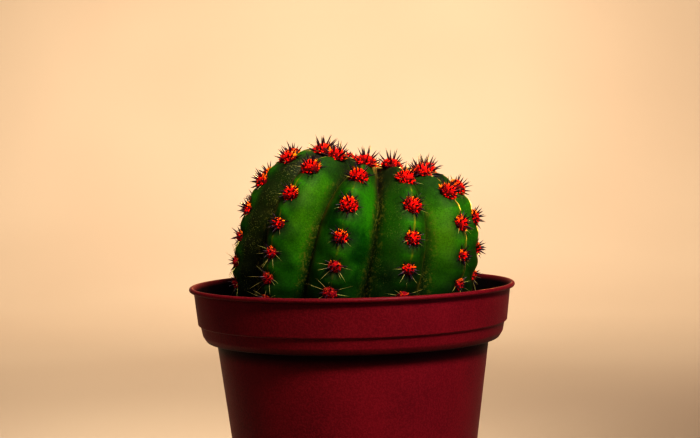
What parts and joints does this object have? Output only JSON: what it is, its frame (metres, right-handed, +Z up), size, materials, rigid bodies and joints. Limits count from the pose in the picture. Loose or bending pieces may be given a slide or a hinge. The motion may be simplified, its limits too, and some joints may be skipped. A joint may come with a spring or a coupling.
{
  "type": "potted cactus",
  "caption": "Round ribbed cactus with red woolly areoles and short spines, growing in a tapered plastic nursery pot with a stepped collar and drained foot.",
  "frame": {"origin": "centre of the pot's foot ring, on the plane the pot stands on", "axes": "+Z up along the pot's axis; the side of the plant seen in the source picture faces -Y; the plant leans towards +X and a little towards -Y"},
  "size_m": [0.085, 0.085, 0.1082],
  "materials": {
    "terracotta_plastic": "satin moulded plastic with a faint fine grain",
    "peat": "loose dark peat and grit, no sheen",
    "green_skin": "waxy living skin, slightly translucent at the rib crests",
    "red_wool": "dense matted wool with stiff spines"
  },
  "bodies": {
    "root": {"pot": "terracotta_plastic", "soil": "peat", "cactus_stem": "green_skin", "areole_r01_1": "red_wool", "areole_r01_2": "red_wool", "areole_r01_3": "red_wool", "areole_r01_4": "red_wool", "areole_r01_5": "red_wool", "areole_r02_1": "red_wool", "areole_r02_2": "red_wool", "areole_r02_3": "red_wool", "areole_r02_4": "red_wool", "areole_r02_5": "red_wool", "areole_r03_1": "red_wool", "areole_r03_2": "red_wool", "areole_r03_3": "red_wool", "areole_r03_4": "red_wool", "areole_r03_5": "red_wool", "areole_r04_1": "red_wool", "areole_r04_2": "red_wool", "areole_r04_3": "red_wool", "areole_r04_4": "red_wool", "areole_r04_5": "red_wool", "areole_r05_1": "red_wool", "areole_r05_2": "red_wool", "areole_r05_3": "red_wool", "areole_r05_4": "red_wool", "areole_r05_5": "red_wool", "areole_r06_1": "red_wool", "areole_r06_2": "red_wool", "areole_r06_3": "red_wool", "areole_r06_4": "red_wool", "areole_r06_5": "red_wool", "areole_r07_1": "red_wool", "areole_r07_2": "red_wool", "areole_r07_3": "red_wool", "areole_r07_4": "red_wool", "areole_r07_5": "red_wool", "areole_r08_1": "red_wool", "areole_r08_2": "red_wool", "areole_r08_3": "red_wool", "areole_r08_4": "red_wool", "areole_r08_5": "red_wool", "areole_r09_1": "red_wool", "areole_r09_2": "red_wool", "areole_r09_3": "red_wool", "areole_r09_4": "red_wool", "areole_r09_5": "red_wool", "areole_r10_1": "red_wool", "areole_r10_2": "red_wool", "areole_r10_3": "red_wool", "areole_r10_4": "red_wool", "areole_r10_5": "red_wool", "areole_r11_1": "red_wool", "areole_r11_2": "red_wool", "areole_r11_3": "red_wool", "areole_r11_4": "red_wool", "areole_r11_5": "red_wool", "crown_wool": "red_wool"}
  },
  "joints": []
}
